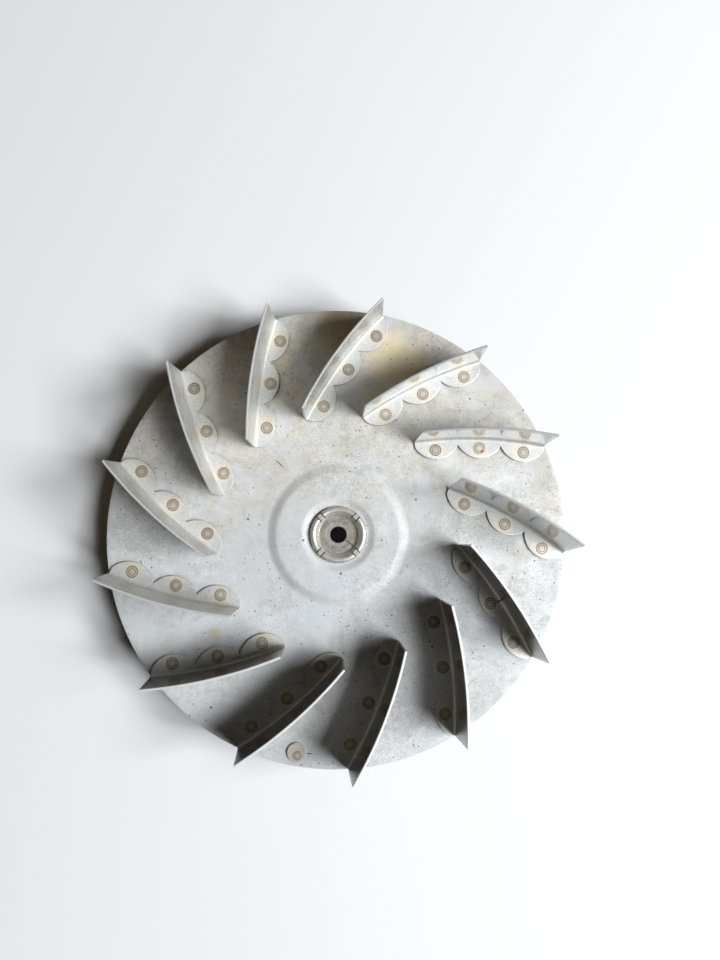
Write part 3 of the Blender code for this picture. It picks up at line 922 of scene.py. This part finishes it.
def blade_columns():
    """Shares along the blade from its outer end, closer together where lobes meet."""
    shares = []
    for lobe in range(LOBE_COUNT):
        for i in range(LOBE_STEPS):
            shares.append((lobe + (1 - math.cos(math.pi * i / LOBE_STEPS)) / 2) / LOBE_COUNT)
    return shares + [1.0]


def blade_rows():
    """(distance from the curve's centre, height) down the web's middle and round the bend."""
    half = SHEET / 2
    web = BLADE_CURVE_RADIUS + FOLD_TO_WEB + half
    bend = BEND_RADIUS + half
    bend_centre = (web - bend, FOOT_BOTTOM + half + bend)
    top = (web, BLADE_TOP - TOP_CLEARANCE)
    rows = [top] + run(top, (web, bend_centre[1]), WEB_STEPS)
    return rows + arc(bend_centre, bend, 0, -math.pi / 2, BEND_STEPS)[1:]


def blade_mesh(number, chance):
    """A blade's bent sheet as a grid of points along its middle, before it gets its thickness."""
    shape = bmesh.new()
    uv = shape.loops.layers.uv.new("sheet")
    rows = blade_rows()
    lean = BLADE_LEAN.get(number, 0) + chance.uniform(-LEAN_SCATTER, LEAN_SCATTER)
    bow = chance.uniform(-BOW_SCATTER, BOW_SCATTER)
    grid = []
    places = {}
    for share in blade_columns():
        angle = OUTER_ANGLE + (INNER_ANGLE - OUTER_ANGLE) * share
        foot = run(rows[-1], (lobe_reach(angle), rows[-1][1]), FOOT_STEPS)
        column = []
        for radius, height in rows + foot:
            above = max(0, height - FOOT_BOTTOM - END_LEAN_START)
            pull = (1 - share) ** 3 * math.tan(END_LEAN) * above / radius
            climb = max(0, height - FOOT_BOTTOM - BEND_RADIUS)
            wave = bow * math.sin(math.pi * share) * climb / BOW_HEIGHT
            point = on_curve(angle + pull, radius + climb * math.tan(lean) + wave)
            vertex = shape.verts.new((point.x, point.y, height))
            places[vertex] = (share * MAPPED_LENGTH, height + (BLADE_CURVE_RADIUS - radius))
            column.append(vertex)
        grid.append(column)
    for first, second in zip(grid, grid[1:]):
        for i in range(len(first) - 1):
            face = shape.faces.new((first[i], first[i + 1], second[i + 1], second[i]))
            for loop in face.loops:
                loop[uv].uv = places[loop.vert]
    turn = blade_turn(number) + chance.uniform(-TURN_SCATTER, TURN_SCATTER)
    shape.transform(Matrix.Rotation(turn, 4, "Z"))
    return as_mesh(shape)


def build_blade(number, material, chance):
    blade = make_object(f"fan_blade_{number:02d}", blade_mesh(number, chance), material)
    solidify = blade.modifiers.new("sheet", "SOLIDIFY")
    solidify.thickness = SHEET
    solidify.offset = 0
    solidify.use_even_offset = True
    round_edges(blade, BLADE_ROUNDING)
    apply_modifiers(blade, 30)
    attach(blade, "wheel")
    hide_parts(f"blade_{number:02d}")


def add_weld_mark(shape, uv, centre, height, tone, upwards=True, size=1.0):
    """The shallow rings that a welding electrode leaves, as a thin raised skin."""
    side = 1 if upwards else -1
    profile = [(radius * size * MM, side * rise * MM) for radius, rise in WELD_PROFILE]
    for face in turned_shape(shape, profile, WELD_SEGMENTS, (centre.x, centre.y, height)):
        for loop in face.loops:
            distance = math.hypot(loop.vert.co.x - centre.x, loop.vert.co.y - centre.y)
            loop[uv].uv = (distance / size, tone)


def weld_spots(chance):
    """Weld centres of all the blades, by blade, with a little scatter."""
    spots = []
    for number in range(1, BLADE_COUNT + 1):
        group = []
        for place in weld_places():
            scatter = Vector((chance.gauss(0, 1), chance.gauss(0, 1))) * WELD_SCATTER
            group.append((blade_place(number, place) + scatter, chance.random()))
        spots.append(group)
    return spots


def build_weld_marks(material, spots):
    for number, group in enumerate(spots, 1):
        shape = bmesh.new()
        uv = shape.loops.layers.uv.new("sheet")
        for centre, tone in group:
            add_weld_mark(shape, uv, centre, FOOT_TOP, tone)
        marks = make_object(f"weld_marks_{number:02d}", closed_mesh(shape), material)
        smooth(marks.data, 60)
        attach(marks, "wheel")


def build_rear_weld_marks(material, spots):
    """The same electrodes' marks under the disc."""
    shape = bmesh.new()
    uv = shape.loops.layers.uv.new("sheet")
    for group in spots:
        for centre, tone in group:
            height = PLATE_LOW.z - plate_sink(centre.x, centre.y) + REAR_MARK_LIFT
            add_weld_mark(shape, uv, centre, height, tone, upwards=False)
    marks = make_object("weld_marks_rear", closed_mesh(shape), material)
    smooth(marks.data, 60)
    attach(marks, "wheel")


# ---- hub


def hub_profile():
    """Once round the hub's section, from the collar's crest down its outside and up its bore."""
    foot = DISH_FLOOR + CONTACT
    seat = DISH_FLOOR - PLATE_THICKNESS - CONTACT
    roll = COLLAR_RADIUS - COLLAR_CREST_RADIUS
    roll_centre = (COLLAR_CREST_RADIUS, COLLAR_CREST - roll)
    up = math.pi / 2
    rear = SHOULDER_RADIUS - CHAMFER
    points = arc(roll_centre, roll, up, 0, ROLL_STEPS)
    points += arc((COLLAR_RADIUS - CHAMFER, foot + CHAMFER), CHAMFER, 0, -up, CORNER_STEPS)
    points += [(NECK_RADIUS, foot), (NECK_RADIUS, seat)]
    points += arc((rear, seat - CHAMFER), CHAMFER, up, 0, CORNER_STEPS)
    points += arc((rear, BARREL_LENGTH + CHAMFER), CHAMFER, 0, -up, CORNER_STEPS)
    points += arc((BARREL_RADIUS + CHAMFER, BARREL_LENGTH - CHAMFER), CHAMFER, up, math.pi, CORNER_STEPS)
    points += [(BARREL_RADIUS, CHAMFER), (BARREL_RADIUS - CHAMFER, 0)]
    points += [(BORE_RADIUS + CHAMFER, 0), (BORE_RADIUS, CHAMFER)]
    sunk = HUB_FACE - COUNTERSINK_DEPTH
    points += [(BORE_RADIUS, sunk - CHAMFER / 2), (BORE_RADIUS + CHAMFER / 2, sunk)]
    points += [(COUNTERSINK_RADIUS, sunk + COUNTERSINK_DEPTH / 3)]
    points += [(COUNTERSINK_RADIUS + COUNTERSINK_EDGE, HUB_FACE)]
    corner = (RECESS_RADIUS - RECESS_CORNER, HUB_FACE + RECESS_CORNER)
    points += run(points[-1], (corner[0], HUB_FACE), FLAT_STEPS)
    points += arc(corner, RECESS_CORNER, -up, 0, SMALL_ARC_STEPS)[1:]
    points += run(points[-1], (COLLAR_CREST_RADIUS - roll, roll_centre[1]), FLAT_STEPS)
    points += arc(roll_centre, roll, math.pi, up, ROLL_STEPS)[1:-1]
    return points


def box_cutter(size, centre, turn):
    shape = bmesh.new()
    bmesh.ops.create_cube(shape, size=1)
    bmesh.ops.scale(shape, vec=size, verts=shape.verts)
    shape.transform(turn @ Matrix.Translation(centre))
    return closed_mesh(shape)


def prism(segments, radius, length):
    """A closed upright prism about the origin, as a bmesh."""
    shape = bmesh.new()
    bmesh.ops.create_cone(
        shape, cap_ends=True, segments=segments, radius1=radius, radius2=radius, depth=length
    )
    return shape


def hidden_cutter(mesh):
    cutter = add_object("cutter", mesh)
    cutter.hide_render = True
    return cutter


def hub_cutters():
    """Slits beside the staked tongues, the tongues' drop, the face's groove and the screw's hole."""
    meshes = []
    reach = COLLAR_RADIUS - RECESS_RADIUS + SLIT_OVERRUN
    middle = (COLLAR_RADIUS + RECESS_RADIUS) / 2
    slit_side = (TONGUE_WIDTH + SLIT_WIDTH) / 2
    for i in range(TONGUE_COUNT):
        turn = Matrix.Rotation(FULL_TURN * (i + 0.5) / TONGUE_COUNT, 4, "Z")
        for side in (-1, 1):
            size = (reach, SLIT_WIDTH, 2 * SLIT_DEPTH)
            meshes.append(box_cutter(size, (middle, side * slit_side, COLLAR_CREST), turn))
        size = (reach, TONGUE_WIDTH + SLIT_WIDTH / 2, 2 * TONGUE_DROP)
        meshes.append(box_cutter(size, (middle, 0, COLLAR_CREST), turn))
    groove = Matrix.Rotation(FACE_SCRATCH_ANGLE, 4, "Z")
    tilt = Matrix.Translation((GROOVE_RADIUS, 0, HUB_FACE)) @ Matrix.Rotation(math.radians(45), 4, "X")
    meshes.append(box_cutter((GROOVE_LENGTH, GROOVE_WIDTH, GROOVE_WIDTH), (0, 0, 0), groove @ tilt))
    hole = prism(SCREW_SEGMENTS, SCREW_HOLE_RADIUS, BARREL_RADIUS)
    centre = (0, -(BORE_RADIUS / 2 + BARREL_RADIUS / 2), (SCREW_LOW.z + SCREW_HIGH.z) / 2)
    hole.transform(Matrix.Translation(centre) @ Matrix.Rotation(math.pi / 2, 4, "X"))
    meshes.append(closed_mesh(hole))
    return [hidden_cutter(mesh) for mesh in meshes]


def build_hub(material):
    shape = bmesh.new()
    turned_shape(shape, hub_profile(), HUB_SEGMENTS)
    hub = make_object("turned_hub", closed_mesh(shape), material)
    cutters = hub_cutters()
    for cutter in cutters:
        cut(hub, cutter)
    round_edges(hub, HUB_ROUNDING)
    apply_modifiers(hub, 32)
    for cutter in cutters:
        bpy.data.objects.remove(cutter, do_unlink=True)
    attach(hub, "wheel")
    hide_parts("hub")


# ---- small pieces


def build_weight(material, weld):
    """The round balance weight with its own off-centre weld mark."""
    centre = (WEIGHT_LOW + WEIGHT_HIGH) / 2
    radius = (WEIGHT_HIGH.x - WEIGHT_LOW.x) / 2
    bottom = PLATE_TOP - plate_sink(centre.x, centre.y) - WEIGHT_SINK
    top = WEIGHT_HIGH.z - CAD_GAP
    edge = WEIGHT_EDGE
    profile = [(0, top), (radius * 0.5, top), (radius - edge * 1.6, top)]
    profile += arc((radius - edge, top - edge), edge, math.pi / 2, 0, SMALL_ARC_STEPS)
    profile += [(radius, bottom), (0, bottom)]
    shape = bmesh.new()
    turned_shape(shape, profile, WEIGHT_SEGMENTS, (centre.x, centre.y, 0))
    weight = make_object("round_balance_weight", closed_mesh(shape), material)
    smooth(weight.data, 35)
    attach(weight, "wheel")
    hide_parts("balance_weight")
    shape = bmesh.new()
    uv = shape.loops.layers.uv.new("sheet")
    spot = centre.to_2d() + WEIGHT_MARK_OFFSET
    add_weld_mark(shape, uv, spot, top, WEIGHT_MARK_TONE, size=WEIGHT_MARK_SIZE)
    mark = make_object("weld_mark_weight", closed_mesh(shape), weld)
    smooth(mark.data, 60)
    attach(mark, "wheel")


def build_grub_screw(material):
    """A cup-point screw with thread ridges and a hexagon socket, along -Y."""
    tip = -SCREW_HIGH.y
    length = SCREW_HIGH.y - SCREW_LOW.y
    crest = (SCREW_HIGH.x - SCREW_LOW.x) / 2
    root = crest - THREAD_DEPTH
    profile = [(0, length), (crest - SCREW_CHAMFER - 0.1 * MM, length)]
    profile += [(root + 0.06 * MM, length - 0.25 * MM)]
    height = length - 0.35 * MM
    while height - THREAD_PITCH > THREAD_END:
        profile += [(crest, height - 0.32 * MM), (crest, height - 0.42 * MM)]
        profile += [(root, height - THREAD_PITCH + 0.04 * MM)]
        height -= THREAD_PITCH
    profile += [(root, 0.9 * MM), (1.45 * MM, 0.05 * MM), (1.25 * MM, 0), (0, 0.6 * MM)]
    shape = bmesh.new()
    turned_shape(shape, profile, SCREW_SEGMENTS)
    screw = make_object("cup_point_screw", closed_mesh(shape), material)
    socket = prism(6, SOCKET_RADIUS, 2 * SOCKET_DEPTH)
    socket.transform(Matrix.Translation((0, 0, length)))
    cutter = hidden_cutter(closed_mesh(socket))
    cut(screw, cutter)
    apply_modifiers(screw, 28)
    bpy.data.objects.remove(cutter, do_unlink=True)
    place = Matrix.Translation((0, -tip, (SCREW_LOW.z + SCREW_HIGH.z) / 2))
    screw.data.transform(place @ Matrix.Rotation(math.pi / 2, 4, "X"))
    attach(screw, "grub_screw")
    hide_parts("grub_screw")


def build_scratch(name, width, points, material):
    """A short raised burr lying on the disc, along points in the wheel's XY plane."""
    curve = bpy.data.curves.new(name, "CURVE")
    curve.dimensions = "3D"
    curve.bevel_depth = width / 2
    curve.bevel_resolution = 3
    curve.use_fill_caps = True
    spline = curve.splines.new("NURBS")
    spline.points.add(len(points) - 1)
    for i, (place, (x, y)) in enumerate(zip(spline.points, points)):
        place.co = (x, y, PLATE_TOP - plate_sink(x, y) + SCRATCH_LIFT, 1)
        place.radius = SCRATCH_TAPER if i in (0, len(points) - 1) else 1.0
    spline.use_endpoint_u = True
    spline.order_u = 3
    burr = make_object(name, curve, material)
    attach(burr, "wheel")


# ---- studio


def build_camera():
    data = bpy.data.cameras.new("camera")
    data.lens = CAMERA_LENS
    data.sensor_width = SENSOR_WIDTH
    camera = add_object("camera", data)
    tilt = Matrix.Rotation(CAMERA_TILT.length, 4, CAMERA_TILT.normalized())
    turned = Matrix.Translation((0, 0, PLATE_TOP)) @ tilt.transposed()
    camera.matrix_world = turned @ Matrix.Translation(CAMERA_PLACE)
    bpy.context.scene.camera = camera


def add_softbox(name, azimuth, elevation, width, height, power, colour):
    """A light that looks at the wheel's centre from an angle about the axis and one above the disc."""
    data = bpy.data.lights.new(name, "AREA")
    data.shape = "RECTANGLE"
    data.size = width
    data.size_y = height
    data.energy = power
    data.color = colour
    light = add_object(name, data)
    turn, rise = math.radians(azimuth), math.radians(elevation)
    level = math.cos(rise)
    direction = Vector((level * math.cos(turn), level * math.sin(turn), math.sin(rise)))
    light.location = Vector((0, 0, PLATE_TOP)) + LIGHT_DISTANCE * direction
    light.rotation_euler = direction.to_track_quat("Z", "Y").to_euler()


def build_world():
    """Dim warm light all round, with a pale room for polished metal and the camera to see."""
    world = bpy.data.worlds.new("studio")
    bpy.context.scene.world = world
    world.use_nodes = True
    tree = world.node_tree
    ambient = tree.nodes["Background"]
    ambient.inputs[0].default_value = AMBIENT_COLOUR
    ambient.inputs[1].default_value = AMBIENT_STRENGTH
    backdrop = tree.nodes.new("ShaderNodeBackground")
    backdrop.inputs[0].default_value = BACKDROP
    rays = tree.nodes.new("ShaderNodeLightPath")
    share = tree.nodes.new("ShaderNodeMath")
    share.operation = "MULTIPLY_ADD"
    share.inputs[1].default_value = ROOM_REFLECTION
    tree.links.new(rays.outputs["Is Glossy Ray"], share.inputs[0])
    tree.links.new(rays.outputs["Is Camera Ray"], share.inputs[2])
    mix = tree.nodes.new("ShaderNodeMixShader")
    tree.links.new(share.outputs[0], mix.inputs[0])
    tree.links.new(ambient.outputs[0], mix.inputs[1])
    tree.links.new(backdrop.outputs[0], mix.inputs[2])
    tree.links.new(mix.outputs[0], tree.nodes["World Output"].inputs[0])


def build_floor():
    """A pale floor that fades into the backdrop away from the wheel."""
    graph = Graph("pale_floor")
    position = graph.position()
    tone = graph.noise(position, 0.3, 3.0)
    colour = graph.blend(tone, (0.86, 0.86, 0.86), (0.90, 0.90, 0.895))
    graph.finish(colour, 0.7, 0.0)
    glow = graph.add("ShaderNodeEmission")
    glow.inputs[0].default_value = BACKDROP
    mix = graph.add("ShaderNodeMixShader")
    away = distance_to(graph, position, Vector((0, 0)))
    graph.feed(mix.inputs[0], graph.span(away, FLOOR_FADE_START, FLOOR_FADE_END))
    graph.feed(mix.inputs[1], graph.shader.outputs[0])
    graph.feed(mix.inputs[2], glow.outputs[0])
    graph.feed(graph.tree.nodes["Material Output"].inputs[0], mix.outputs[0])
    mesh = bpy.data.meshes.new("floor")
    half = FLOOR_SIDE / 2
    corners = [(-half, -half, 0), (half, -half, 0), (half, half, 0), (-half, half, 0)]
    mesh.from_pydata(corners, [], [(0, 1, 2, 3)])
    floor = make_object("floor", mesh, graph.material)
    floor.location.z = HUB_LOW.z - FLOOR_DROP
    floor.visible_diffuse = False


def build_studio():
    build_world()
    for softbox in SOFTBOXES:
        add_softbox(*softbox)
    build_floor()
    bpy.context.scene.view_settings.view_transform = "Standard"


def main():
    chance = random.Random(SEED)
    build_camera()
    build_studio()
    weld = weld_material()
    spots = weld_spots(chance)
    build_backplate(plate_material())
    for number, material in sorted(blade_finishes().items()):
        build_blade(number, material, chance)
    build_weld_marks(weld, spots)
    build_rear_weld_marks(weld, spots)
    build_hub(hub_material())
    build_weight(weight_material(), weld)
    build_grub_screw(screw_material())
    dark = scratch_material()
    for name, width, points in SCRATCHES:
        build_scratch(name, width, points, dark)


main()
